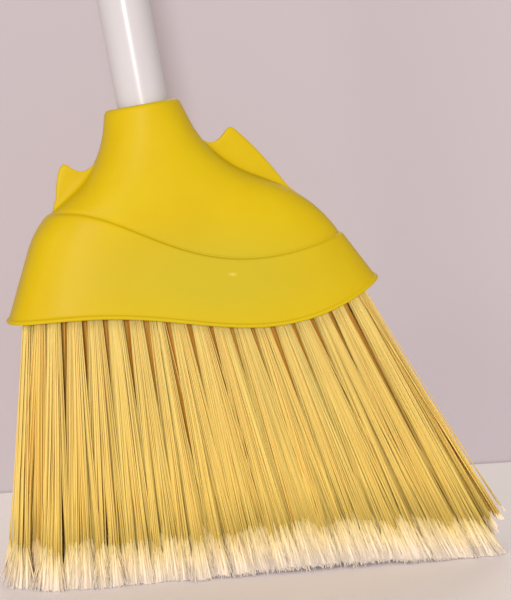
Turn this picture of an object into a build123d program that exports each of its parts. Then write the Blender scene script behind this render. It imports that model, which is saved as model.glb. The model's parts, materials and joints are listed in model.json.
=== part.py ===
# Angle broom: a soft moulded cap over a tufted block, on a screwed-in coated steel handle.
# Millimetres. The floor is z = 0, +X runs along the sweeping edge to the long toe side, -Y is the front.
# x = 0 and y = 0 are the middle of the sweeping edge. The handle leans to the short heel side, towards -X.
import os
from math import cos, pi, radians, sin, sqrt

from build123d import *

# Where the head stands
trim_angle = 10.6  # between the handle and the upright, so that the slanted trim lies along the floor
rim_height = 237.0  # middle of the cap's neck rim above the floor
rim_setback = 62.0  # the same point from the middle of the sweeping edge, towards the heel

# Handle
handle_d = 25.4  # over the coat
coat = 0.4
tube_wall = 0.45
handle_length = 1219.0
seat_depth = 34.0  # how far the handle goes into the neck

# Threaded tip
collar_height = 4.0
collar_step = 2.775  # from the collar's edge in to the thread
shank_length = 38.0
thread_pitch = 5.08
thread_turns = 6
thread_lead_in = 1.5  # chamfer at the thread's end

# Hang cap
plug_length = 24.0
cap_collar_height = 6.0
hang_hole_d = 9.0
tab_wall = 6.0  # round the hole
tab_neck = 16.5  # middle of the hole above the collar
tab_thickness = 11.0
tab_round = 2.0

# Cap: its sides in the front view are given from the neck's side, outwards and down from the rim
cap_wall = 2.4
top_web = 2.6  # thickness of the neck's closed top
rim_round = 2.2
heel_rim = (1.4, 0.0)
heel_throat = (8.5, -27.0)  # where the neck's side turns out into the shoulder
heel_shoulder = (44.8, -49.0)  # where the shoulder turns down into the side
heel_hem = (86.0, -130.0)  # a point that the side runs to, below the lip
heel_rounds = [49.0, 43.0]  # radii of those two turns
toe_rim = (0.0, 0.0)
toe_throat = (10.1, -32.6)
toe_shoulder = (59.3, -61.5)
toe_hem = (96.6, -130.0)
toe_rounds = [55.0, 70.0]
hem_swell = 6.1  # how much further the front stands out at the hem than at the neck
end_swell = 11.0  # how much longer the rounded ends are at the hem than at the neck
neck_flat = 0.5  # half of the flat on the neck's front and back
cap_stations = 18
skirt_proud = 1.2
lip_proud = 2.6
lip_height = 3.2
lip_step = 0.7  # the bead's edges are stepped back this much
ear_thickness = 2.6

# Block
tower_wall = 2.3
bar_tilt = 5.3  # of the bar to the floor, with its toe end up, so that it runs along the lip
bar_drop = 88.0  # the bar's lower face below the rim's middle
bar_height = 21.0
socket_end_gap = 2.0

# Tufts
columns = 18
rows = 4
tuft_d = 6.2
tuft_wall = 3.4  # between tufts of one row
row_wall = 2.0  # between rows
tuft_margin = 0.6  # least wall round a tuft hole
first_tuft = -57.0  # heel-side tuft of the third row, along the bar from below the rim's middle
last_tuft = 107.0  # no tuft stands further to the toe
strands_round_middle = 5
strand_side = 1.4
strand_root = 2.0  # depth of a strand in its backing
plate_web = 1.2  # between a strand's root and its anchor
fan_apex = 160.0  # the tufts fan out from a point on the handle, this far above the rim
row_spread = 1.8  # distance between rows at the tips, in row pitches
tuft_spread = 2.6  # width of a tuft at its tips, in root widths
trim_rise = 6.5  # the trim arches this much in the middle

# Wire
anchor_inset = 0.3  # from the edge of a tuft hole to the anchor's end
anchor_height = 1.8
anchor_thickness = 0.5
staple_crown = 12.0
staple_wire = 1.2
staple_leg = 12.0
staple_places = [-33.0, 62.0]  # along the bar from below the rim's middle
staple_drop = 7.0  # below the bar's upper face
staple_dent = 0.4  # how deep the crown sinks into the cap's skin

# Clearances
cap_fit = 0.3  # block in cap
neck_gap = 0.3  # handle in neck
thread_gap = 0.06
plug_gap = 0.05  # tip and hang cap in the tube
end_gap = 0.1  # tip and hang cap to the tube's ends
wire_gap = 0.05

# What follows from those sizes
lean = radians(trim_angle)
along = Vector(-sin(lean), 0, cos(lean))
across = Vector(cos(lean), 0, sin(lean))
rim = Vector(-rim_setback, 0, rim_height)
level_view = Plane(origin=rim, x_dir=(1, 0, 0), z_dir=(0, -1, 0))
handle_view = Plane(origin=rim, x_dir=across, z_dir=(0, -1, 0))
far = 400.0  # beyond every part of the head

tube_r = handle_d / 2 - coat
bore_r = tube_r - tube_wall
thread_r = tube_r - collar_step
thread_length = thread_turns * thread_pitch
collar_seat = seat_depth + collar_height
socket_end = collar_seat + thread_length + socket_end_gap

neck_hole_r = handle_d / 2 + neck_gap
tower_r = neck_hole_r + tower_wall
neck_r = tower_r + cap_fit + cap_wall
hem_depth = -max(heel_hem[1], toe_hem[1])

tilt = radians(bar_tilt)
bar_face = Plane(origin=rim - Vector(0, 0, bar_drop), x_dir=(cos(tilt), 0, sin(tilt)), z_dir=(-sin(tilt), 0, cos(tilt)))
tuft_pitch = tuft_d + tuft_wall
row_pitch = tuft_d + row_wall
plate_thickness = strand_root + plate_web + anchor_height


def at_depth(depth):
    """Plane square to the handle, this far below the rim, with its normal up the handle."""
    return Plane(origin=rim - along * depth, x_dir=across, z_dir=along)


def rod(radius, low_depth, high_depth):
    """Round bar on the handle's axis, from low_depth up to high_depth below the rim."""
    upright = (Align.CENTER, Align.CENTER, Align.MIN)
    return at_depth(low_depth) * Cylinder(radius, low_depth - high_depth, align=upright)


def bar_slab(low, high):
    """Everything between two heights over the bar's lower face."""
    upright = (Align.CENTER, Align.CENTER, Align.MIN)
    return bar_face * Pos(0, 0, low) * Box(far, far, high - low, align=upright)


def region(curve, towards):
    """Everything above or below a curve in the level view, drawn from heel to toe."""
    start = curve @ 0
    end = curve @ 1
    edge = [
        curve,
        Line((end.X, end.Y), (end.X, towards)),
        Line((end.X, towards), (start.X, towards)),
        Line((start.X, towards), (start.X, start.Y)),
    ]
    return extrude(level_view * make_face(edge), amount=far, both=True)


def reach(side, depth):
    """How far a side of the cap stands from the handle's axis at this depth."""
    low = 0.0
    high = 1.0
    for _ in range(40):
        middle = (low + high) / 2
        if (side @ middle).Y > -depth:
            low = middle
        else:
            high = middle
    return neck_r + (side @ low).X


def half_depth(depth):
    """Half of the cap's thickness from front to back at this depth."""
    return neck_r + hem_swell * depth / hem_depth


def quarter_ellipse(start, corner, end):
    """A quarter of an ellipse inside the corner of its box."""
    return Bezier(start, corner, end, weights=[1, cos(pi / 4), 1])


def cap_section(depth, inset):
    """Closed outline of the cap at one depth: flat front and back, elliptical ends."""
    grown = min(3 * depth / hem_depth, 1)
    swell = end_swell * grown * grown * (3 - 2 * grown)
    heel = reach(heel_side, depth) - inset
    toe = reach(toe_side, depth) - inset
    half = half_depth(depth) - inset
    end = neck_r - neck_flat + swell - inset
    toe_middle = toe - end
    heel_middle = end - heel
    outline = [
        Line((heel_middle, -half), (toe_middle, -half)),
        quarter_ellipse((toe_middle, -half), (toe, -half), (toe, 0)),
        quarter_ellipse((toe, 0), (toe, half), (toe_middle, half)),
        Line((toe_middle, half), (heel_middle, half)),
        quarter_ellipse((heel_middle, half), (-heel, half), (-heel, 0)),
        quarter_ellipse((-heel, 0), (-heel, -half), (heel_middle, -half)),
    ]
    return at_depth(depth) * make_face(outline)


def cap_form(inset):
    """The cap's bell as a solid, drawn in by inset."""
    depths = [hem_depth * step / cap_stations for step in range(cap_stations + 1)]
    return loft([cap_section(depth, inset) for depth in depths])


# Cap. In the level view from the rim's middle: the S-shaped ledge over the skirt, and the lip's lower edge
heel_side = FilletPolyline(heel_rim, heel_throat, heel_shoulder, heel_hem, radius=heel_rounds)
toe_side = FilletPolyline(toe_rim, toe_throat, toe_shoulder, toe_hem, radius=toe_rounds)
ledge = Spline((-80, -62), (-55, -57), (-36, -53.8), (10, -69.7), (50, -76.3), (85, -69.9), (118, -57.7), (140, -47))
lip = Spline((-84, -108), (-66, -107.8), (-35, -105.1), (0, -106.1), (40, -110.5), (80, -107.4), (112, -94.1), (140, -77.6))

# Ears in the handle view, from the neck's side
heel_ear = [
    ThreePointArc((-10, -23.2), (-17.8, -27.1), (-24.9, -22.9)),
    ThreePointArc((-24.9, -22.9), (-26.9, -21.9), (-29.3, -23.9)),
    ThreePointArc((-29.3, -23.9), (-31.9, -30.2), (-33.8, -38.5)),
    Line((-33.8, -38.5), (-40, -46.5)),
    Line((-40, -46.5), (-22, -50)),
    Line((-22, -50), (-4, -30)),
    Line((-4, -30), (-10, -23.2)),
]
toe_ear = [
    ThreePointArc((6.8, -20.6), (13.4, -25), (21, -21.2)),
    ThreePointArc((21, -21.2), (24, -18.8), (26.6, -20.4)),
    ThreePointArc((26.6, -20.4), (38.3, -35.6), (49.5, -55)),
    Line((49.5, -55), (32, -55)),
    Line((32, -55), (2, -28)),
    Line((2, -28), (6.8, -20.6)),
]

above_lip = region(lip, far)
shell = cap_form(0)
shell = fillet(shell.faces().sort_by(Axis.Z)[-1].edges(), rim_round) & above_lip
skirt = cap_form(-skirt_proud) & region(ledge, -far) & above_lip
bead = cap_form(lip_step - lip_proud) & region(Pos(0, lip_height) * lip, -far) & above_lip
bead_band = region(Pos(0, lip_height - lip_step) * lip, -far) & region(Pos(0, lip_step) * lip, far)
cap = shell + skirt + bead + (cap_form(-lip_proud) & bead_band)
for outline, neck_side in ((heel_ear, -neck_r), (toe_ear, neck_r)):
    ear = handle_view * Pos(neck_side, 0) * make_face(outline)
    cap += extrude(ear, amount=ear_thickness / 2, both=True)
cap -= cap_form(cap_wall) - rod(2 * neck_r, top_web, -top_web)
cap -= rod(neck_hole_r, 2 * top_web, -top_web)

# Block: the bar over the tufts, and the tower that holds the threaded socket
inside_cap = cap_form(cap_wall + cap_fit)
tower_foot = (bar_drop * cos(tilt) - bar_height / 2) / cos(lean - tilt)
block = inside_cap & bar_slab(0, bar_height)
block += rod(tower_r, tower_foot, top_web + cap_fit)
block -= rod(neck_hole_r, collar_seat, 0)
block -= rod(thread_r + thread_gap, socket_end, 0)

# Tufts: staggered rows that fan out from one point on the handle, with every strand straight.
# The block's lower layer is cut into zigzag slices between the tufts, and each slice carries its own.
apex = rim + along * fan_apex
plate = (inside_cap & bar_slab(-plate_thickness, 0)).solid()
row_places = [(row - (rows - 1) / 2) * row_pitch for row in range(rows)]
row_shifts = [tuft_pitch / 2 * (row % 2) for row in range(rows)]
hole_turns = [2 * pi * turn / 8 for turn in range(8)]
ring_r = (tuft_d - strand_side * sqrt(2)) / 2
ring_turns = [2 * pi * turn / strands_round_middle for turn in range(strands_round_middle)]
strand_offsets = [(0.0, 0.0)] + [(ring_r * cos(turn), ring_r * sin(turn)) for turn in ring_turns]


def plate_point(out, y, height):
    """A point along the bar and across it, at a height over the bar's lower face."""
    return bar_face.from_local_coords((out, y, height))


def tuft_fits(out, y):
    """True where a whole tuft hole, with its margin, lies in the block."""
    hole_r = tuft_d / 2 + tuft_margin
    middle = -plate_thickness / 2
    edge = [plate_point(out + hole_r * cos(turn), y + hole_r * sin(turn), middle) for turn in hole_turns]
    return all(plate.is_inside(point) for point in edge)


def column_tufts(column):
    """Places of the tufts in one slice of the block, along and across the bar."""
    outs = [first_tuft + column * tuft_pitch + shift for shift in row_shifts]
    return [(out, y) for out, y in zip(outs, row_places) if out <= last_tuft and tuft_fits(out, y)]


def strand_slope(root, offset):
    """Drift of a strand along X and Y for each millimetre that it falls."""
    fan = (root.X - apex.X) / (apex.Z - root.Z)
    open_up = root.Y * (row_spread - 1) / root.Z
    grow = (tuft_spread - 1) / root.Z
    return fan + offset[0] * grow, open_up + offset[1] * grow


def floor_reach(root, offset):
    """Where a strand's line meets the floor, along the sweeping edge."""
    return root.X + offset[0] + strand_slope(root, offset)[0] * root.Z


def strand(root, offset):
    """One straight strand of four sides, from inside its backing to the arched trim."""
    slope_x, slope_y = strand_slope(root, offset)
    tip = trim_rise * (1 - (floor_reach(root, offset) / sweep_reach) ** 2)
    top = root + Vector(offset[0] - slope_x * strand_root, offset[1] - slope_y * strand_root, strand_root)
    fall = top.Z - tip
    end = Pos(top) * Rectangle(strand_side, strand_side)
    return Solid.extrude(end.face(), Vector(slope_x * fall, slope_y * fall, -fall))


def slice_edge(column):
    """Zigzag line between two slices, from front to back, on the bar's lower face."""
    middle = first_tuft + (column - 0.5) * tuft_pitch
    if column == 0:
        middle = -far
    if column == columns:
        middle = far
    bends = [(middle + shift, y) for y, shift in zip(row_places, row_shifts)]
    return [(bends[0][0], -far)] + bends + [(bends[-1][0], far)]


def backing(column):
    """One slice of the block's lower layer."""
    corners = slice_edge(column) + slice_edge(column + 1)[::-1]
    outline = bar_face * make_face(Polyline(*corners, close=True))
    return plate & extrude(outline, amount=plate_thickness, dir=-bar_face.z_dir)


def anchor(out, y, gap):
    """Flat wire across a tuft's root, with its top at the bar's lower face."""
    length = tuft_d - 2 * anchor_inset
    hanging = (Align.CENTER, Align.CENTER, Align.MAX)
    wire = Box(length + 2 * gap, anchor_thickness + 2 * gap, anchor_height + gap, align=hanging)
    return bar_face * Pos(out, y, 0) * wire


all_tufts = [column_tufts(column) for column in range(columns)]
all_roots = [[plate_point(out, y, -plate_thickness) for out, y in tufts] for tufts in all_tufts]
sweep_reach = max(abs(floor_reach(root, o)) for roots in all_roots for root in roots for o in strand_offsets)
banks = []
anchors = []
for column, tufts in enumerate(all_tufts):
    slots = [anchor(out, y, wire_gap) for out, y in tufts]
    strands = [strand(root, offset) for root in all_roots[column] for offset in strand_offsets]
    banks.append((backing(column) - slots).solid().fuse(*strands))
    anchors += [anchor(out, y, 0).solid() for out, y in tufts]


def staple(out, gap, crown_depth):
    """Flat wire staple with its crown in the cap's back and its legs in the bar."""
    height = bar_height - staple_drop
    seat = half_depth((rim - plate_point(out, 0, height)).dot(along)) - staple_dent
    wire = staple_wire + 2 * gap
    outward = (Align.CENTER, Align.MIN, Align.CENTER)
    inward = (Align.CENTER, Align.MAX, Align.CENTER)
    form = Pos(out, seat, height) * Box(staple_crown + 2 * gap, crown_depth, wire, align=outward)
    for side in (-1, 1):
        leg = out + side * (staple_crown - staple_wire) / 2
        form += Pos(leg, seat, height) * Box(wire, staple_leg + gap, wire, align=inward)
    return bar_face * form


# Staples through the back of the cap into the bar
staples = [staple(out, 0, staple_wire).solid() for out in staple_places]
for out in staple_places:
    hole = staple(out, wire_gap, far)
    cap -= hole
    block -= hole

# Handle: steel tube and vinyl coat
handle_top = seat_depth - handle_length
tube = rod(tube_r, seat_depth, handle_top) - rod(bore_r, seat_depth, handle_top)
skin = rod(handle_d / 2, seat_depth, handle_top) - rod(tube_r, seat_depth, handle_top)

# Threaded tip: a shank in the tube, a collar under its end, and the thread
collar_top = seat_depth + end_gap
thread = rod(thread_r, collar_seat + thread_length, collar_seat)
tip = rod(tube_r, collar_seat, collar_top)
tip += rod(bore_r - plug_gap, collar_top, seat_depth - shank_length)
tip += chamfer(thread.edges().sort_by(Axis((0, 0, 0), along))[0], thread_lead_in)

# Hang cap: a plug in the tube, a collar on its end, and a flat tab with the hole
cap_seat = handle_top - end_gap
tab_foot = cap_seat - cap_collar_height
tab_r = hang_hole_d / 2 + tab_wall
hole_up = tab_neck - tab_foot
tab_outline = [
    Line((-tab_r, -cap_seat), (tab_r, -cap_seat)),
    Line((tab_r, -cap_seat), (tab_r, hole_up)),
    ThreePointArc((tab_r, hole_up), (0, hole_up + tab_r), (-tab_r, hole_up)),
    Line((-tab_r, hole_up), (-tab_r, -cap_seat)),
]
tab = extrude(handle_view * make_face(tab_outline), amount=tab_thickness / 2, both=True)
tab = fillet(tab.faces().filter_by(Axis.Y).edges(), tab_round)
hang_hole = handle_view * Pos(0, hole_up)
hang_cap = tab + rod(handle_d / 2, cap_seat, tab_foot)
hang_cap += rod(bore_r - plug_gap, handle_top + plug_length, cap_seat)
hang_cap -= hang_hole * Cylinder(hang_hole_d / 2, 2 * tab_thickness)

# Every piece, by name
pieces = {
    "cap": cap,
    "bristle_block": block,
    "tuft_anchors": Compound(children=anchors),
    "cap_staples": Compound(children=staples),
    "handle_tube": tube,
    "handle_coat": skin,
    "threaded_tip": tip,
    "hang_cap": hang_cap,
}
for column, bank in enumerate(banks):
    pieces[f"bristle_tufts_{column + 1:02d}"] = bank
os.makedirs("parts", exist_ok=True)
for name, piece in pieces.items():
    export_step(piece, f"parts/{name}.step")

print("strands", len(anchors) * len(strand_offsets), "sweep", 2 * sweep_reach)
print("tufts in each slice", [len(tufts) for tufts in all_tufts], "hang hole", hang_hole.position)
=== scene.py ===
import json
from math import pi, radians, tau

import bpy
import numpy as np
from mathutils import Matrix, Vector


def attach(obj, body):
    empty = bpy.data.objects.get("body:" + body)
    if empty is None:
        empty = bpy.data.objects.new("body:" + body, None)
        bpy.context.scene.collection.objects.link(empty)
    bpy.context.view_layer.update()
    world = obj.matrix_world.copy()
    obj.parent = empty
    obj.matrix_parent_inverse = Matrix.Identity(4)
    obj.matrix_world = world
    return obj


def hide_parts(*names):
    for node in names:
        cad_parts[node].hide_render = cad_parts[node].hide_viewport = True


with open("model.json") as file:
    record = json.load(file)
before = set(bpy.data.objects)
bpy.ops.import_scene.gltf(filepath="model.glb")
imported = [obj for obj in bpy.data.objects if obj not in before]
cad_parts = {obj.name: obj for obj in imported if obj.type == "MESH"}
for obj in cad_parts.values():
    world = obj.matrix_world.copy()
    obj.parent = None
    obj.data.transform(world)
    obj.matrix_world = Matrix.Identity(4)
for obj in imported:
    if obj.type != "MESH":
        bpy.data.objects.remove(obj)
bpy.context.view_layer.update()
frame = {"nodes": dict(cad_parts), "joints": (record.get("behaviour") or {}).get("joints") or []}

# Bristle block: the bar that the tufts are set in, with the tower that takes the handle's thread.
# It is injection moulded in one piece from uncoloured reclaimed polypropylene and pushed up into the cap.
# Its upper part is hidden, so it keeps the solid's own shape under a dull moulded finish.
block_colour = (176, 168, 150)
block_streak = (148, 140, 124)
block_roughness = 0.55
flow_scale = 45
flow_stretch = (1, 1, 0.35)
grain_scale = 2600
grain_detail = 2
grain_strength = 0.15
grain_depth = 0.0002
noise_span = (0.3, 0.7)
gloss_swing = 0.06


def linear(colour):
    """A colour of 0 to 255 a channel, as shown on a screen, as the linear values that shaders take."""
    shares = np.array(colour) / 255
    return (*np.where(shares <= 0.04045, shares / 12.92, ((shares + 0.055) / 1.055) ** 2.4), 1)


def add_node(material, kind, sockets=None, **settings):
    """A node of a material, with its settings, and its sockets linked or set."""
    node = material.node_tree.nodes.new(kind)
    for name, value in settings.items():
        setattr(node, name, value)
    for name, value in (sockets or {}).items():
        if isinstance(value, bpy.types.NodeSocket):
            material.node_tree.links.new(value, node.inputs[name])
        else:
            node.inputs[name].default_value = value
    return node


def new_material(name, **sockets):
    """A material with one shader, whose sockets are set by name, with underscores for spaces."""
    material = bpy.data.materials.new(name)
    material.use_nodes = True
    shader = material.node_tree.nodes["Principled BSDF"]
    for socket, value in sockets.items():
        shader.inputs[socket.replace("_", " ")].default_value = value
    return material, shader


def object_noise(material, scale, detail=3, stretch=(1, 1, 1)):
    """Noise in the piece's own metres, drawn out along its axes by stretch."""
    place = add_node(material, "ShaderNodeTexCoord")
    mapping = add_node(material, "ShaderNodeMapping", {"Vector": place.outputs["Object"], "Scale": stretch})
    sockets = {"Vector": mapping.outputs["Vector"], "Scale": scale, "Detail": detail}
    return add_node(material, "ShaderNodeTexNoise", sockets).outputs["Fac"]


def blend_colours(material, share, first, second):
    """A colour between two, by share."""
    mix = add_node(material, "ShaderNodeMix", data_type="RGBA")
    material.node_tree.links.new(share, mix.inputs["Factor"])
    for socket, value in ((mix.inputs[6], first), (mix.inputs[7], second)):
        if isinstance(value, bpy.types.NodeSocket):
            material.node_tree.links.new(value, socket)
        else:
            socket.default_value = value
    return mix.outputs[2]


def remap(material, value, low, high, to_low, to_high):
    """A value moved from one range to another."""
    ends = {"Value": value, "From Min": low, "From Max": high, "To Min": to_low, "To Max": to_high}
    return add_node(material, "ShaderNodeMapRange", ends).outputs["Result"]


def link(material, output, socket):
    """One wire of a material."""
    material.node_tree.links.new(output, socket)


def raise_bump(material, shader, height, strength, distance):
    """A fine relief on a shader's surface."""
    sockets = {"Height": height, "Strength": strength, "Distance": distance}
    link(material, add_node(material, "ShaderNodeBump", sockets).outputs["Normal"], shader.inputs["Normal"])


def moulded_plastic(name, colour, streak, roughness):
    """Plain moulded plastic: faint flow streaks, uneven gloss and a fine spark-eroded grain."""
    material, shader = new_material(name)
    flow = object_noise(material, flow_scale, stretch=flow_stretch)
    grain = object_noise(material, grain_scale, detail=grain_detail)
    tint = blend_colours(material, flow, linear(streak), linear(colour))
    link(material, tint, shader.inputs["Base Color"])
    gloss = remap(material, flow, *noise_span, roughness - gloss_swing, roughness + gloss_swing)
    link(material, gloss, shader.inputs["Roughness"])
    raise_bump(material, shader, grain, grain_strength, grain_depth)
    return material


def dress(node, material):
    """Gives a solid of the frame its finish."""
    for slot in frame["nodes"][node].material_slots:
        slot.material = material


block_plastic = moulded_plastic("block_plastic", block_colour, block_streak, block_roughness)
dress("bristle_block", block_plastic)

# Drilled face: the lower layer of the block, where one hole is drilled for each tuft.
# It has the outline of the cap's inside, a little smaller. The holes are a hair wider than the tufts.
# The cap's form is worked out here, as the block follows it: round at the neck, then a full flat oval.
_, turn_joint = frame["joints"]
rim = np.array(turn_joint["pos_m"])
up = np.array(turn_joint["axis"])
across = np.array([up[2], 0, -up[0]])
neck_r = 0.018
cap_wall = 0.0024
cap_fit = 0.0003
heel_corners = [(0.0014, 0), (0.0085, -0.027), (0.0448, -0.049), (0.086, -0.13)]
heel_rounds = [0.049, 0.043]
toe_corners = [(0, 0), (0.0101, -0.0326), (0.0593, -0.0615), (0.0966, -0.13)]
toe_rounds = [0.055, 0.07]
hem_depth = 0.13
hem_swell = 0.0061
full_depth = 0.065
full_power = 3.1
full_crown = 0.1
end_turns = [0, 1.5, 3, 4.5, 6.5, 9, 12, 16, 20, 25, 30, 36, 42]
front_columns = 14
arc_points = 13
depth_steps = 400
anchor_half = 0.0009
face_thickness = 0.005
tuft_r = 0.0031
hole_slack = 0.0002
drill_sides = 20


def rounded_side(corners, rounds):
    """One side of the cap in the front view, as depths and reaches: straight runs joined by arcs."""
    corners = [np.array(corner) for corner in corners]
    points = [corners[0]]
    for before, corner, after, radius in zip(corners, corners[1:], corners[2:], rounds):
        back = (before - corner) / np.linalg.norm(before - corner)
        ahead = (after - corner) / np.linalg.norm(after - corner)
        half_angle = np.arccos(back @ ahead) / 2
        middle = corner + (back + ahead) / np.linalg.norm(back + ahead) * radius / np.sin(half_angle)
        start = corner + back * radius / np.tan(half_angle) - middle
        end = corner + ahead * radius / np.tan(half_angle) - middle
        swing = pi / 2 - half_angle
        for share in np.linspace(-1, 1, arc_points):
            weights = np.sin(swing * (1 - share)), np.sin(swing * (1 + share))
            points.append(middle + (weights[0] * start + weights[1] * end) / np.sin(2 * swing))
    points = np.array(points + [corners[-1]])
    return -points[:, 1], points[:, 0]


def ease(share):
    """A smooth step from 0 to 1."""
    share = np.clip(share, 0, 1)
    return share * share * (3 - 2 * share)


def cap_columns():
    """Directions of the columns round the cap, from the toe by the back to the heel and on by the front."""
    front = np.arctan2(1, np.arange(front_columns)[::-1] / front_columns)
    quarter = np.concatenate([np.radians(end_turns), front])
    half = np.concatenate([quarter, pi - quarter[-2::-1]])
    return np.concatenate([half, tau - half[-2:0:-1]])


def cap_plan(depth, inset):
    """Across and front-to-back places of the cap's outline, for depths and insets with the columns last."""
    full = ease(depth / full_depth)
    heel = neck_r + np.interp(depth, *heel_side) - inset
    toe = neck_r + np.interp(depth, *toe_side) - inset
    half = (neck_r + hem_swell * depth / hem_depth) * (1 + full_crown * full) - inset
    power = 2 + (full_power - 2) * full
    outward = np.cos(columns)
    sideways = np.sin(columns)
    size = (np.abs(outward) ** power + np.abs(sideways) ** power) ** (-1 / power)
    return (toe - heel) / 2 + (toe + heel) / 2 * outward * size, half * sideways * size


def cap_place(out, depth, side):
    """Points of the frame from places across the handle, below the rim and towards the back."""
    back = np.array([0, 1, 0])
    return rim + out[..., None] * across - (depth + 0 * out)[..., None] * up + side[..., None] * back


def depth_where(curve, inset):
    """How deep each column of the cap meets a curve of the front view, a polynomial about the rim."""
    depths = np.linspace(0, hem_depth, depth_steps)
    out, side = cap_plan(depths[:, None], inset)
    points = cap_place(out, depths[:, None], side)
    over = points[..., 2] - rim[2] - np.polyval(curve, points[..., 0] - rim[0])
    first = np.argmax(over < 0, axis=0)
    column = np.arange(over.shape[1])
    above = over[first - 1, column]
    below = over[first, column]
    return depths[first - 1] + (depths[1] - depths[0]) * above / (above - below)


def use_only(piece):
    """Selects one piece and makes it the active one."""
    bpy.ops.object.select_all(action="DESELECT")
    piece.select_set(True)
    bpy.context.view_layer.objects.active = piece


def apply_modifier(piece, kind, **settings):
    """Adds a modifier to a piece and applies it."""
    use_only(piece)
    modifier = piece.modifiers.new(kind.lower(), kind)
    for name, value in settings.items():
        setattr(modifier, name, value)
    bpy.ops.object.modifier_apply(modifier=modifier.name)


def close_up(piece, distance=0.00001):
    """Merges doubled points and turns every face outwards."""
    use_only(piece)
    bpy.ops.object.mode_set(mode="EDIT")
    bpy.ops.mesh.select_all(action="SELECT")
    bpy.ops.mesh.remove_doubles(threshold=distance)
    bpy.ops.mesh.normals_make_consistent(inside=False)
    bpy.ops.object.mode_set(mode="OBJECT")


def anchor_middles():
    """Middles of the tufts' anchors, which tell where the tufts stand."""
    anchors = bpy.data.objects.new("anchor_copy", frame["nodes"]["tuft_anchors"].data.copy())
    bpy.context.scene.collection.objects.link(anchors)
    close_up(anchors)
    bpy.ops.object.mode_set(mode="EDIT")
    bpy.ops.mesh.separate(type="LOOSE")
    bpy.ops.object.mode_set(mode="OBJECT")
    copies = list(bpy.context.selected_objects)
    middles = [tuple(np.mean([point.co for point in copy.data.vertices], axis=0)) for copy in copies]
    for copy in copies:
        bpy.data.objects.remove(copy)
    return np.array(sorted(middles))


heel_side = rounded_side(heel_corners, heel_rounds)
toe_side = rounded_side(toe_corners, toe_rounds)
columns = cap_columns()
roots = anchor_middles() + (0, 0, anchor_half)
bar_line = np.polyfit(roots[:, 0] - rim[0], roots[:, 2] - rim[2], 1)

bpy.ops.object.select_all(action="DESELECT")
bpy.ops.mesh.primitive_circle_add(vertices=len(columns), fill_type="NGON")
face = bpy.context.object
face.name = "drilled_face"
bpy.ops.object.mode_set(mode="EDIT")
bpy.ops.mesh.extrude_region_move(TRANSFORM_OT_translate={"value": (0, 0, -1)})
bpy.ops.object.mode_set(mode="OBJECT")
edges = []
for drop in (0, face_thickness):
    depth = depth_where(bar_line - (0, drop), cap_wall + cap_fit)
    out, side = cap_plan(depth, cap_wall + cap_fit)
    edges.append(cap_place(out, depth, side))
face_points = np.concatenate(edges)
face.data.vertices.foreach_set("co", face_points.ravel())
close_up(face)
bpy.ops.object.select_all(action="DESELECT")
drills = []
for root in roots:
    place = root - (0, 0, face_thickness)
    bpy.ops.mesh.primitive_cylinder_add(
        vertices=drill_sides, radius=tuft_r + hole_slack, depth=face_thickness, location=place
    )
    drills.append(bpy.context.object)
for drill in drills:
    drill.select_set(True)
bpy.ops.object.join()
drill = bpy.context.object
apply_modifier(face, "BOOLEAN", object=drill, operation="DIFFERENCE", solver="EXACT")
bpy.data.objects.remove(drill)
face.data.materials.append(block_plastic)
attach(face, "head")

# Tuft anchors: short lengths of flat steel wire.
# Each is driven across the fold of a tuft and into the block, and keeps the tuft in its hole.
# Drawn wire is bright, with fine lines along it.
wire_colour = (196, 196, 198)
wire_lines = (0.05, 1, 1)
wire_roughness = 0.3
line_scale = 900
line_dim = 0.8
line_span = (0.2, 0.8)
line_gloss = 0.08
line_strength = 0.1
line_depth = 0.0001


def bright_steel(name, colour, lines, roughness):
    """Drawn or rolled steel with fine lines along it."""
    material, shader = new_material(name, Metallic=1.0)
    streaks = object_noise(material, line_scale, stretch=lines)
    dim = linear([line_dim * channel for channel in colour])
    tint = blend_colours(material, streaks, dim, linear(colour))
    link(material, tint, shader.inputs["Base Color"])
    gloss = remap(material, streaks, *line_span, roughness - line_gloss, roughness + line_gloss)
    link(material, gloss, shader.inputs["Roughness"])
    raise_bump(material, shader, streaks, line_strength, line_depth)
    return material


wire_steel = bright_steel("wire_steel", wire_colour, wire_lines, wire_roughness)
dress("tuft_anchors", wire_steel)

# Tufts: bunches of straight polypropylene filaments, folded in half and set in the holes of the block.
# They fan out from the handle, part into locks once they are clear of the cap, and are trimmed to a slight
# arch. The trimmed ends are flagged: each one is split into fine fibres that fluff up and turn pale.
banks = 18
tuft_pitch = 0.0096
first_tuft = -0.057
bank_slack = 0.25  # of a pitch, so that a bank's staggered tufts fall in it
filaments = 190
filament_r = 0.00026
stem_sides = 5
shaft_runs = 5
stem_swell = 1.07
brush_sides = 4
brush_runs = 3
brush_flare = 1.42
brush_share = 0.98
fibres = 6
fibre_r = 0.0003
fibre_sides = 3
fibre_runs = 1
fibre_taper = 0.75
fan_apex = 0.18  # above the rim
fan_shift = 0.0078
row_spread = 1.7
tuft_spread = np.array([3.7, 2.3])
inner_locks = 3
outer_locks = 7
inner_share = 0.55  # of a tuft's radius
lock_spread = 0.58  # beside the tuft's own
spread_power = 1.18
edge_narrow = 0.2
edge_banks = 2
end_open = 5.0
end_share = 0.3
arch_middle = 0.033
arch_half = 0.08
arch_rise = 0.0034
corner_start = 0.1255
corner_width = 0.008
corner_limit = 1.3
corner_rise = 0.0105
corner_bare = 0.65
lock_wander = 0.0014
filament_wander = 0.0005
wander_power = 1.5
stray_share = 0.025
end_stray_share = 0.035
stray_wander = np.array([0.005, 0.0008])
filament_bow = np.array([0.0005, 0.0012])
flag_length = 0.0204
flag_start = 0.2
flag_power = 0.8
root_flag = -0.5  # below 0, a shaft is clearer
lock_flag = 0.0021
flag_uneven = 0.0012
fibre_wander = np.array([0.0021, 0.0009, 0.0013])
fibre_power = 1.3
ragged = 0.0004
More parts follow.
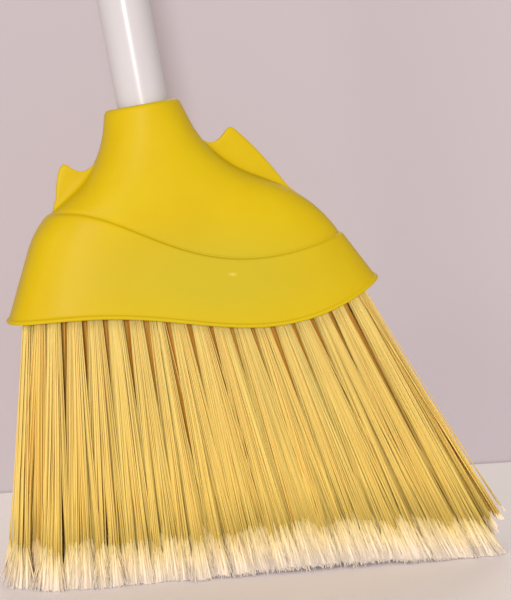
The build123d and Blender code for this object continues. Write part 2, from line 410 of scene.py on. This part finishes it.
tone_range = (0.58, 0.06)
least_tone = 0.3
# The tone falls towards each filament's lower end: painted shade, a deeper and warmer gold low down where
# the tuft spreads.
shade_tone_fall = 0.45
# Filaments deeper than this inside a tuft are painted darker, towards amber: painted shade for the inside of
# the tuft.
skin_depth = 0.0062  # of the pale filaments round the amber ones
bristle_shade_amber = (247, 176, 60)
bristle_deep = (250, 225, 120)
bristle_gold = (253, 249, 158)
bristle_pale = (255, 246, 186)
deep_tone = 0.3
gold_tone = 0.65
bristle_glow = (255, 180, 52)
bristle_specular = 0.14
shaft_roughness = 0.28
root_clear = 0.36
flag_cream = (252, 236, 220)
flag_glow = (255, 236, 212)
flag_roughness = 0.7
flag_sheen = 0.6
flag_sheen_roughness = 0.4
flag_clear = 0.02
draw_scale = 1500
draw_stretch = (1, 1, 0.02)
draw_strength = 0.2
draw_depth = 0.0001
bristle_seed = 11
chance = np.random.default_rng(bristle_seed)


def straight_stem(sides, runs, taper):
    """Points and faces of a stem of unit length and radius, whose runs grow or shrink by taper."""
    bpy.ops.object.select_all(action="DESELECT")
    bpy.ops.mesh.primitive_circle_add(vertices=sides, radius=1, fill_type="NGON")
    stem = bpy.context.object
    bpy.ops.object.mode_set(mode="EDIT")
    for _ in range(runs):
        bpy.ops.mesh.extrude_region_move(TRANSFORM_OT_translate={"value": (0, 0, 1 / runs)})
        bpy.ops.transform.resize(value=(taper, taper, 1), center_override=(0, 0, 0))
    bpy.ops.object.mode_set(mode="OBJECT")
    close_up(stem)
    points = np.array([point.co for point in stem.data.vertices])
    faces = [tuple(polygon.vertices) for polygon in stem.data.polygons]
    bpy.data.objects.remove(stem)
    return points, faces


def from_end(root):
    """How far a tuft stands from the nearer end of the bar, as a share of the banks that the ends change."""
    return min(np.abs(root[0] - roots[[0, -1], 0]).min() / (edge_banks * tuft_pitch), 1)


def along_filament(share, root, course):
    """Points of a tuft's filaments at shares of their fall, with one row of shares for each filament."""
    lock_place, offset, wander, lean, bow, fall = course
    apex = rim + up * fan_apex - across * fan_shift
    at_end = max(1 - from_end(root) / end_share, 0)
    rows_open = row_spread * (1 - at_end)
    slope = np.array([(root[0] - apex[0]) / (apex[2] - root[2]), root[1] * (rows_open - 1) / root[2]])
    narrow = edge_narrow + (1 - edge_narrow) * from_end(root)
    spread = (tuft_spread - 1) * (narrow, 1 + (end_open - 1) * at_end)
    grow = spread * (share ** spread_power)[..., None]
    plan = root[:2] + lock_place[:, None] * (1 + grow) + offset[:, None] * (1 + lock_spread * grow)
    plan = plan + slope * (fall[:, None] * share)[..., None] + lean[:, None] * share[..., None]
    drift = wander[:, None] * (share ** wander_power)[..., None]
    plan = plan + drift + bow[:, None] * np.sin(pi * share)[..., None]
    return np.concatenate([plan, (root[2] - fall[:, None] * share)[..., None]], axis=-1)


def tuft_course(root):
    """Where the filaments of one tuft run, trimmed at the floor, and how long their split ends are."""
    golden_angle = pi * (3 - 5 ** 0.5)
    count = np.arange(filaments)
    angle = count * golden_angle
    far_out = np.sqrt((count + 0.5) / filaments)
    offset = (tuft_r - filament_r) * far_out[:, None] * np.stack([np.cos(angle), np.sin(angle)], axis=-1)
    turn = angle % tau / tau
    lock = np.where(far_out < inner_share, turn * inner_locks, inner_locks + turn * outer_locks).astype(int)
    locks = inner_locks + outer_locks
    lock_place = np.array([offset[lock == one].mean(axis=0) for one in range(locks)])[lock]
    lock_drift = chance.normal(0, lock_wander, (locks, 2))[lock]
    wander = lock_drift + chance.normal(0, filament_wander, (filaments, 2))
    stray = chance.random(filaments) < end_stray_share + (stray_share - end_stray_share) * from_end(root)
    lean = chance.normal(0, stray_wander, (filaments, 2)) * stray[:, None]
    if from_end(root) < 1:
        lean[:, 0] = np.abs(lean[:, 0]) * np.sign(root[0] - roots[:, 0].mean())
    bow = chance.normal(0, filament_bow, (filaments, 2))
    to_floor = np.full(filaments, root[2])
    course = lock_place, offset - lock_place, wander, lean, bow
    reach = along_filament(np.ones((filaments, 1)), root, (*course, to_floor))[:, 0, 0]
    arch = np.clip(1 - ((reach - arch_middle) / arch_half) ** 2, 0, 1)
    corner = np.clip((reach - corner_start) / corner_width, 0, corner_limit)
    trim = arch_rise * arch + corner_rise * corner ** 2 + ragged * chance.exponential(1, filaments)
    flag = flag_length + chance.normal(0, lock_flag, locks)[lock] + chance.normal(0, flag_uneven, filaments)
    return (*course, to_floor - trim), flag * (1 - corner_bare * corner)


def filament_tones(root, course):
    """How pale each filament of a tuft is: those inside are painted darker, towards amber, as shade deep in
    the tuft.
    """
    tone = np.clip(chance.normal(*tone_range, filaments), least_tone, 1)
    half_way = along_filament(np.full((filaments, 1), 0.5), root, course)[:, 0, 1]
    outermost = np.abs(roots[:, 1]).max() * (1 + row_spread) / 2 + tuft_r * (1 + tuft_spread[1]) / 2
    skin = np.clip((np.abs(half_way) - outermost + 2 * skin_depth) / skin_depth, 0, 1)
    return tone * np.maximum(skin, 1 - from_end(root))


def wrap_stems(shape, middles, girth):
    """Stems of a shape round their middle lines, each turned by its own angle."""
    turn = chance.uniform(0, tau, (len(middles), 1))
    wide = np.cos(turn) * shape[:, 0] - np.sin(turn) * shape[:, 1]
    deep = np.sin(turn) * shape[:, 0] + np.cos(turn) * shape[:, 1]
    return middles + np.stack([wide * girth, deep * girth, np.zeros_like(wide)], axis=-1)


def flag_share(points):
    """How far a split end has turned pale, by its points' share of the way down."""
    return flag_start + (1 - flag_start) * points[:, 2] ** flag_power


def tuft_stems(root):
    """The filaments and the split ends of one tuft: points, faces, tones and flagged shares."""
    course, flag = tuft_course(root)
    tone = filament_tones(root, course)
    whole = 1 - (flag / course[-1])[:, None]
    points, faces = stem
    shafts = wrap_stems(points, along_filament(points[:, 2] * whole, root, course), filament_r)
    # The lower ends get a lower tone: painted shade.
    shaft_tone = np.outer(tone, 1 - shade_tone_fall * points[:, 2])
    parts = [(shafts, faces, shaft_tone, root_flag * (1 - points[:, 2]))]
    points, faces = brush
    middles = along_filament(whole + brush_share * (1 - whole) * points[:, 2], root, course)
    brushes = wrap_stems(points, middles, filament_r * stem_swell ** shaft_runs)
    end_tone = np.outer(tone, np.full(len(points), 1 - shade_tone_fall))
    parts.append((brushes, faces, end_tone, flag_share(points)))
    points, faces = fibre
    ends = along_filament(whole, root, course)
    tips = along_filament(np.ones((filaments, 1)), root, course)
    end_tone = np.outer(tone, np.full(len(points), 1 - shade_tone_fall))
    fluff = (flag / flag_length)[:, None, None]
    for _ in range(fibres):
        apart = chance.normal(0, fibre_wander, (filaments, 1, 3)) * fluff
        middles = ends + (tips - ends) * points[:, 2:] + apart * points[:, 2:] ** fibre_power
        middles[..., 2] = np.maximum(middles[..., 2], fibre_r)
        parts.append((wrap_stems(points, middles, fibre_r), faces, end_tone, flag_share(points)))
    return parts


def bristle_mesh(name, parts):
    """One mesh of all the stems in parts, with the tone and the flagged share of every point."""
    points = []
    faces = []
    tones = []
    flags = []
    start = 0
    for stems, stem_faces, tone, flag in parts:
        number, corners = stems.shape[:2]
        points.append(stems.reshape(-1, 3))
        for one in range(number):
            faces += [tuple(start + one * corners + corner for corner in face) for face in stem_faces]
        tones.append(tone.ravel())
        flags.append(np.tile(flag, number))
        start += number * corners
    mesh = bpy.data.meshes.new(name)
    mesh.from_pydata(np.concatenate(points).tolist(), [], faces)
    mesh.attributes.new("tone", "FLOAT", "POINT").data.foreach_set("value", np.concatenate(tones))
    mesh.attributes.new("flag", "FLOAT", "POINT").data.foreach_set("value", np.concatenate(flags))
    mesh.polygons.foreach_set("use_smooth", [len(face) == 4 for face in faces])
    return mesh


def show_through(material, shader, second, share):
    """Mixes a second shader into a material's own, by share."""
    sockets = {0: share, 1: shader.outputs["BSDF"], 2: second.outputs["BSDF"]}
    both = add_node(material, "ShaderNodeMixShader", sockets)
    link(material, both.outputs["Shader"], material.node_tree.nodes["Material Output"].inputs["Surface"])


def bristle_finish():
    """Golden polypropylene, glossy and a little translucent, that is cream where its ends are split, with
    painted shade in amber deep in the tufts and towards their lower ends.
    """
    material, shader = new_material(
        "bristle_gold", Specular_IOR_Level=bristle_specular, Sheen_Roughness=flag_sheen_roughness
    )
    tone = add_node(material, "ShaderNodeAttribute", attribute_name="tone").outputs["Fac"]
    flag = add_node(material, "ShaderNodeAttribute", attribute_name="flag").outputs["Fac"]
    ramp = add_node(material, "ShaderNodeValToRGB", {"Fac": tone})
    # The ramp's amber end, which the tones inside the tufts reach, is painted shade.
    ramp.color_ramp.elements[0].color = linear(bristle_shade_amber)
    ramp.color_ramp.elements[1].color = linear(bristle_pale)
    ramp.color_ramp.elements.new(deep_tone).color = linear(bristle_deep)
    ramp.color_ramp.elements.new(gold_tone).color = linear(bristle_gold)
    colour = blend_colours(material, flag, ramp.outputs["Color"], linear(flag_cream))
    link(material, colour, shader.inputs["Base Color"])
    roughness = remap(material, flag, 0, 1, shaft_roughness, flag_roughness)
    link(material, roughness, shader.inputs["Roughness"])
    sheen = remap(material, flag, 0, 1, 0, flag_sheen)
    link(material, sheen, shader.inputs["Sheen Weight"])
    streaks = object_noise(material, draw_scale, stretch=draw_stretch)
    raise_bump(material, shader, streaks, draw_strength, draw_depth)
    glow = blend_colours(material, flag, linear(bristle_glow), linear(flag_glow))
    through = add_node(material, "ShaderNodeBsdfTranslucent", {"Color": glow})
    clear = remap(material, flag, root_flag, 1, root_clear, flag_clear)
    show_through(material, shader, through, clear)
    return material


stem = straight_stem(stem_sides, shaft_runs, stem_swell)
brush = straight_stem(brush_sides, brush_runs, brush_flare)
fibre = straight_stem(fibre_sides, fibre_runs, fibre_taper)
bristle_material = bristle_finish()
steps_along = ((roots[:, 0] - rim[0]) * np.hypot(1, bar_line[0]) - first_tuft) / tuft_pitch
for bank in range(banks):
    parts = []
    for root in roots[(steps_along + bank_slack).astype(int) == bank]:
        parts += tuft_stems(root)
    mesh = bristle_mesh(f"bristles_{bank + 1:02d}", parts)
    mesh.materials.append(bristle_material)
    bristles = bpy.data.objects.new(mesh.name, mesh)
    bpy.context.scene.collection.objects.link(bristles)
    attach(bristles, "head")
    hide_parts(f"bristle_tufts_{bank + 1:02d}")

# Cap: a soft polyethylene bell, moulded in one piece, that covers the block and grips its tower.
# A low ledge in the shape of an S runs over the skirt, a rounded bead stiffens the lip, and two thin ears
# stand out from the shoulders. Two staples through its back hold it to the block.
hole_r = 0.013
top_web = 0.0026
hole_round = 0.0006
rim_round = 0.0022
rim_turns = [0, 22.5, 45, 67.5, 90]
ledge_points = [
    (-0.055, -0.0579), (-0.036, -0.0537), (0.01, -0.0697),
    (0.05, -0.0763), (0.085, -0.0699), (0.118, -0.0577),
]
lip_points = [
    (-0.066, -0.1078), (-0.035, -0.1051), (0, -0.1061),
    (0.04, -0.1105), (0.08, -0.1074), (0.125, -0.0865),
]
skirt_proud = 0.0012
ledge_profile = [
    (-0.0014, 0), (-0.0008, 0.0001), (-0.0003, 0.0004), (0.0001, 0.0003),
    (0.0004, -0.0004), (0.0008, -0.001), (0.0014, -0.0012),
]
lip_proud = 0.0022
lip_height = 0.0022
hole_rows = 3
body_rows = 92
skirt_rows = 14
bead_rows = 8
inner_rows = 10
ear_half = 0.0013
ear_shares = [1, 0.985, 0.86, 0.5, 0.16, 0.02]
ear_widths = [0, 0.7, 1, 1, 1.1, 1.7]
ear_melt = 0.0012
heel_foot = 0.0495
heel_foot_steps = 8
toe_foot = 0.062
toe_foot_steps = 6
toe_edge_steps = 16
merge_distance = 0.000001
cap_colour = (207, 181, 16)
cap_patch = (193, 162, 10)
# A greyer, bluer patch on the middle of the skirt's front: dirt, and painted sheen where the front light's
# glare falls.
dirt_and_sheen_colour = (188, 170, 40)
dirt_and_sheen_place = (-0.03, -0.027, 0.152)
dirt_and_sheen_size = (0.085, 0.05, 0.032)
scuff_colour = (228, 212, 118)
scuff_place = (-0.0225, -0.0255, 0.153)
scuff_size = (0.0028, 0.006, 0.0011)
dirt_and_sheen_edge = 0.7
dirt_and_sheen_most = 0.8
cap_specular = 0.12
cap_gloss = (0.42, 0.5)
blotch_scale = 28
blotch_detail = 4
pebble_scale = 1800
pebble_strength = 0.12
pebble_depth = 0.0002


def curve_through(points):
    """The polynomial through points of the front view."""
    across_points, up_points = zip(*points)
    return np.polyfit(across_points, up_points, len(points) - 1)


def arc_through(start, middle, end, steps=12):
    """Points of a shallow arc through three points."""
    share = np.linspace(0, 1, steps)[:, None]
    weights = (1 - share) * (1 - 2 * share), 4 * share * (1 - share), share * (2 * share - 1)
    return weights[0] * np.array(start) + weights[1] * np.array(middle) + weights[2] * np.array(end)


def ear_outline(pieces):
    """An ear's edge by share of its length, from the notch round the tip to its foot."""
    points = np.concatenate(pieces)
    length = np.concatenate([[0], np.cumsum(np.linalg.norm(np.diff(points, axis=0), axis=1))])
    return length / length[-1], points


heel_ear = ear_outline([
    arc_through((0.01, 0.0232), (0.0178, 0.0271), (0.0249, 0.0229)),
    arc_through((0.0249, 0.0229), (0.0269, 0.0219), (0.0293, 0.0239)),
    arc_through((0.0293, 0.0239), (0.0319, 0.0302), (0.0338, 0.0385)),
    np.linspace((0.0338, 0.0385), (np.interp(heel_foot, *heel_side), heel_foot), heel_foot_steps),
])
toe_ear = ear_outline([
    arc_through((0.0068, 0.0206), (0.0134, 0.025), (0.021, 0.0212)),
    arc_through((0.021, 0.0212), (0.024, 0.0188), (0.0266, 0.0204)),
    arc_through((0.0266, 0.0204), (0.0377, 0.0352), (0.0485, 0.0535), toe_edge_steps),
    np.linspace((0.0485, 0.0535), (np.interp(toe_foot, *toe_side), toe_foot), toe_foot_steps),
])


def cap_rows():
    """Depths and insets of the cap's rows, from the hole over the outside and back up the inside."""
    ledge_depth = depth_where(curve_through(ledge_points), 0)
    lip_depth = depth_where(curve_through(lip_points), -skirt_proud)
    level = np.zeros_like(lip_depth)
    hole_inset = neck_r - hole_r
    rows = [
        (level + top_web, hole_inset),
        (level + hole_round, hole_inset),
        (level, hole_inset - hole_round),
    ]
    for turn in np.radians(rim_turns):
        rows.append((level + rim_round * (1 - np.cos(turn)), rim_round * (1 - np.sin(turn))))
    body_end = ledge_depth + ledge_profile[0][0]
    for share in np.arange(1, body_rows + 1) / body_rows:
        rows.append((rim_round + (body_end - rim_round) * share, 0))
    for drop, inset in ledge_profile[1:]:
        rows.append((ledge_depth + drop, inset))
    skirt_start = ledge_depth + ledge_profile[-1][0]
    skirt_end = lip_depth - lip_height
    for share in np.arange(1, skirt_rows + 1) / skirt_rows:
        rows.append((skirt_start + (skirt_end - skirt_start) * share, -skirt_proud))
    bulge = lip_proud - skirt_proud
    for turn in pi * np.arange(1, bead_rows + 1) / bead_rows:
        drop = lip_height / 2 * (1 - np.cos(turn))
        rows.append((skirt_end + drop, -skirt_proud - bulge * np.sin(turn)))
    rows.append((lip_depth, cap_wall / 2))
    for share in np.arange(inner_rows + 1) / inner_rows:
        rows.append((lip_depth + (top_web - lip_depth) * share, cap_wall))
    return np.array([row[0] for row in rows]), np.array([row[1] + level for row in rows])


def raise_ear(out, depth, side, ear, middle_column, direction):
    """Draws the columns round an end of the cap out into a thin ear, from its notch to its foot."""
    lengths, edge = ear
    first_row = hole_rows + len(rim_turns)
    body = slice(first_row, first_row + body_rows)
    share = (depth[body, middle_column] - edge[0, 1]) / (edge[-1, 1] - edge[0, 1])
    edge_out = direction * (neck_r + np.interp(share, lengths, edge[:, 0]))
    edge_depth = np.interp(share, lengths, edge[:, 1])
    foot_out = out[body, middle_column].copy()
    foot_depth = depth[body, middle_column].copy()
    height = np.hypot(edge_out - foot_out, edge_depth - foot_depth)
    melt = ease(height / ear_melt) * (share > 0) * (share < 1)
    for step, (reach, width) in enumerate(zip(ear_shares, ear_widths)):
        for column in {middle_column - step, middle_column + step}:
            hand = np.sign(column - middle_column) * direction
            fin_out = foot_out + (edge_out - foot_out) * reach
            fin_depth = foot_depth + (edge_depth - foot_depth) * reach
            out[body, column] += melt * (fin_out - out[body, column])
            depth[body, column] += melt * (fin_depth - depth[body, column])
            side[body, column] += melt * (hand * ear_half * width - side[body, column])


def combine(material, operation, first, second):
    """One value of a material from two, by a sum's name."""
    return add_node(material, "ShaderNodeMath", {0: first, 1: second}, operation=operation).outputs["Value"]


def cap_finish():
    """Yellow polyethylene with a satin skin: blotches, a greyer patch on the skirt's front that is dirt and
    painted sheen, a fine grain and one scuff.
    """
    material, shader = new_material("cap_yellow", Specular_IOR_Level=cap_specular)
    blotch = object_noise(material, blotch_scale, detail=blotch_detail)
    pebble = object_noise(material, pebble_scale)
    place = add_node(material, "ShaderNodeTexCoord").outputs["Object"]
    spots = []
    for middle, size in ((scuff_place, scuff_size), (dirt_and_sheen_place, dirt_and_sheen_size)):
        spot = {"Vector": place, "Location": middle, "Scale": size}
        near = add_node(material, "ShaderNodeMapping", spot, vector_type="TEXTURE").outputs["Vector"]
        fade = add_node(material, "ShaderNodeTexGradient", {"Vector": near}, gradient_type="SPHERICAL")
        spots.append(fade.outputs["Fac"])
    scuff, dirt_and_sheen = spots
    scuff = combine(material, "MULTIPLY", scuff, pebble)
    # The skirt's patch is part dirt, part painted sheen.
    dirt_and_sheen = remap(material, dirt_and_sheen, 0, dirt_and_sheen_edge, 0, dirt_and_sheen_most)
    colour = blend_colours(material, blotch, linear(cap_patch), linear(cap_colour))
    colour = blend_colours(material, dirt_and_sheen, colour, linear(dirt_and_sheen_colour))
    colour = blend_colours(material, scuff, colour, linear(scuff_colour))
    link(material, colour, shader.inputs["Base Color"])
    link(material, remap(material, blotch, *noise_span, *cap_gloss), shader.inputs["Roughness"])
    raise_bump(material, shader, pebble, pebble_strength, pebble_depth)
    return material


depth, inset = cap_rows()
out, side = cap_plan(depth, inset)
raise_ear(out, depth, side, heel_ear, len(columns) // 2, -1)
raise_ear(out, depth, side, toe_ear, 0, 1)
cap_points = cap_place(out, depth, side)
rows, turns = depth.shape

bpy.ops.object.select_all(action="DESELECT")
bpy.ops.mesh.primitive_grid_add(x_subdivisions=turns, y_subdivisions=rows, size=1)
cap = bpy.context.object
cap.name = "cap_shell"
grid = np.array([point.co for point in cap.data.vertices])
turn = np.rint((grid[:, 0] + 0.5) * turns).astype(int) % turns
row = np.rint((grid[:, 1] + 0.5) * rows).astype(int) % rows
cap.data.vertices.foreach_set("co", cap_points[row, turn].ravel())
close_up(cap, merge_distance)
apply_modifier(cap, "SUBSURF", levels=1, render_levels=1)
cap.data.shade_smooth()
cap.data.materials.append(cap_finish())
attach(cap, "head")
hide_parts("cap")

# Cap staples: two staples bent from the same flat steel wire as the anchors.
# They are driven through the cap's back into the bar, and keep the cap on the block.
dress("cap_staples", wire_steel)

# Handle tube: thin steel strip, rolled into a tube and welded along its seam.
# The coat covers it, and its ends are closed by the threaded tip and the hang cap.
tube_colour = (188, 188, 190)
tube_lines = (1, 1, 0.02)
tube_roughness = 0.35
dress("handle_tube", bright_steel("tube_steel", tube_colour, tube_lines, tube_roughness))

# Handle coat: a white vinyl skin, shrunk on the tube over its whole length.
# It is glossy, with a faint ripple and light scuffs along it.
coat_white = (201, 198, 204)
coat_dim = (195, 191, 196)
coat_ior = 1.5
coat_gloss = (0.18, 0.25)
coat_scuff_scale = 120
coat_scuff_stretch = (1, 1, 0.12)
ripple_scale = 60
ripple_stretch = (1, 1, 0.3)
ripple_strength = 0.06
ripple_depth = 0.0003


def coat_finish():
    """Glossy white vinyl, scuffed and a little rippled along the handle."""
    material, shader = new_material("handle_white", IOR=coat_ior)
    scuffs = object_noise(material, coat_scuff_scale, stretch=coat_scuff_stretch)
    ripple = object_noise(material, ripple_scale, stretch=ripple_stretch)
    colour = blend_colours(material, scuffs, linear(coat_dim), linear(coat_white))
    link(material, colour, shader.inputs["Base Color"])
    link(material, remap(material, scuffs, *noise_span, *coat_gloss), shader.inputs["Roughness"])
    raise_bump(material, shader, ripple, ripple_strength, ripple_depth)
    return material


dress("handle_coat", coat_finish())

# Threaded tip: a plug with a coarse thread, moulded in white polypropylene.
# Its shank is pushed into the tube's lower end and crimped there.
# Its thread screws into the tower of the block.
tip_colour = (228, 226, 220)
tip_streak = (216, 213, 205)
tip_roughness = 0.4
dress("threaded_tip", moulded_plastic("tip_plastic", tip_colour, tip_streak, tip_roughness))

# Hang cap: a plug with a flat tab and a hole to hang the broom by, moulded in white polypropylene.
# It is pushed into the handle's top and stays there by its tight fit.
hang_cap_colour = (229, 226, 222)
hang_cap_streak = (217, 214, 208)
hang_cap_roughness = 0.38
hang_cap_plastic = moulded_plastic("hang_cap_plastic", hang_cap_colour, hang_cap_streak, hang_cap_roughness)
dress("hang_cap", hang_cap_plastic)

# Floor and backdrop: one pale sheet that turns up behind the broom, and more floor behind it.
# The upright part only shows from its front, and lets the surround light the broom's back.
sheet_half = 8.0
backdrop_back = 0.2
backdrop_turn = 0.003
turn_segments = 6
sheet_roughness = 0.9
wall_colour = (181, 172, 181)
# The floor's colour is painted lighter than the wall's: painted light, as the lights only graze the floor.
floor_painted_lighter_colour = (249, 245, 255)
floor_edge = 0.0004


def sheet_finish():
    """Matt pale paper. Its flat part is painted far lighter than where it stands up: painted light for the
    floor, which the lights only graze. What stands up is there for the eye alone.
    """
    material, shader = new_material("pale_sheet", Roughness=sheet_roughness)
    place = add_node(material, "ShaderNodeTexCoord").outputs["Object"]
    height = add_node(material, "ShaderNodeSeparateXYZ", {"Vector": place}).outputs["Z"]
    upright = remap(material, height, 0, floor_edge, 0, 1)
    colour = blend_colours(material, upright, linear(floor_painted_lighter_colour), linear(wall_colour))
    link(material, colour, shader.inputs["Base Color"])
    ray = add_node(material, "ShaderNodeLightPath").outputs
    looks = combine(material, "MAXIMUM", ray["Is Camera Ray"], ray["Is Glossy Ray"])
    looks = combine(material, "MAXIMUM", looks, ray["Is Transmission Ray"])
    light = combine(material, "SUBTRACT", 1.0, looks)
    behind = add_node(material, "ShaderNodeNewGeometry").outputs["Backfacing"]
    open_share = combine(material, "MAXIMUM", combine(material, "MULTIPLY", light, upright), behind)
    show_through(material, shader, add_node(material, "ShaderNodeBsdfTransparent"), open_share)
    return material


def floor_plane(name, middle):
    """A square of floor."""
    bpy.ops.object.select_all(action="DESELECT")
    bpy.ops.mesh.primitive_plane_add(size=2 * sheet_half, location=middle)
    plane = bpy.context.object
    plane.name = name
    bpy.ops.object.transform_apply(location=True)
    return plane


rear_floor = floor_plane("rear_floor", (0, backdrop_back + sheet_half, 0))
floor = floor_plane("floor", (0, backdrop_back - sheet_half, 0))
for edge in floor.data.edges:
    edge.select = all(floor.data.vertices[end].co.y > 0 for end in edge.vertices)
for point in floor.data.vertices:
    point.select = point.co.y > 0
floor.data.polygons[0].select = False
bpy.ops.object.mode_set(mode="EDIT")
bpy.ops.mesh.select_mode(type="EDGE")
bpy.ops.mesh.extrude_region_move(TRANSFORM_OT_translate={"value": (0, 0, sheet_half)})
bpy.ops.object.mode_set(mode="OBJECT")
apply_modifier(floor, "BEVEL", width=backdrop_turn, segments=turn_segments, limit_method="ANGLE")
floor.data.shade_smooth()
pale_sheet = sheet_finish()
for sheet in (floor, rear_floor):
    sheet.data.materials.append(pale_sheet)

# Light: even lights from behind the camera, from either side and from behind, and a surround.
# All of them are soft and plain. Where the camera looks past the sheet, it sees the sheet's own pale colour.
lit_point = (0, 0, 0.15)
front_power = 2.1
front_spread = 8.0
front_tint = (1.0, 0.98, 0.935)
front_place = (-0.64, -2.32, 0.44)
left_power = 0.6
left_spread = 12.0
left_place = (-1.85, -1.5, 1.0)
right_power = 0.1
right_spread = 10.0
right_place = (1.25, -2.05, 1.0)
rear_power = 0.8
rear_spread = 27.0
rear_place = (0.7, 2.4, 1.7)
side_tint = (1.0, 0.88, 0.72)
surround = (1.0, 0.9, 0.78, 1)
surround_strength = 0.46
seen_colour = (208, 192, 191)


def add_light(name, power, tint, place, spread):
    """An even light from the side of a place, turned to the head of the broom and spread by some degrees."""
    bpy.ops.object.light_add(type="SUN", location=place)
    lamp = bpy.context.object
    lamp.name = name
    lamp.data.energy = power
    lamp.data.color = tint
    lamp.data.angle = radians(spread)
    lamp.rotation_euler = (Vector(lit_point) - Vector(place)).to_track_quat("-Z", "Y").to_euler()


add_light("front_light", front_power, front_tint, front_place, front_spread)
add_light("left_light", left_power, side_tint, left_place, left_spread)
add_light("right_light", right_power, side_tint, right_place, right_spread)
add_light("rear_light", rear_power, side_tint, rear_place, rear_spread)
world = bpy.data.worlds.new("surround")
world.use_nodes = True
bpy.context.scene.world = world
even = world.node_tree.nodes["Background"]
even.inputs["Color"].default_value = surround
even.inputs["Strength"].default_value = surround_strength
seen = add_node(world, "ShaderNodeBackground", {"Color": linear(seen_colour)})
ray = add_node(world, "ShaderNodeLightPath").outputs
looks = combine(world, "MAXIMUM", ray["Is Camera Ray"], ray["Is Transmission Ray"])
sockets = {0: looks, 1: even.outputs["Background"], 2: seen.outputs["Background"]}
shown = add_node(world, "ShaderNodeMixShader", sockets)
link(world, shown.outputs["Shader"], world.node_tree.nodes["World Output"].inputs["Surface"])

# Camera: at the photograph's place, a little above the cap's middle and left of it.
# It looks down a little, and its lens has the photograph's angle of view.
camera_place = (-0.2152, -0.7336, 0.2083)
camera_azimuth = -16.1
camera_elevation = 5.3
camera_lens = 89.3
sensor_width = 36
clip_start = 0.01
bpy.ops.object.camera_add(location=camera_place)
camera = bpy.context.object
camera.rotation_euler = (radians(90 - camera_elevation), 0, radians(camera_azimuth))
camera.data.lens = camera_lens
camera.data.sensor_width = sensor_width
camera.data.clip_start = clip_start
bpy.context.scene.camera = camera
bpy.context.scene.view_settings.view_transform = "Standard"
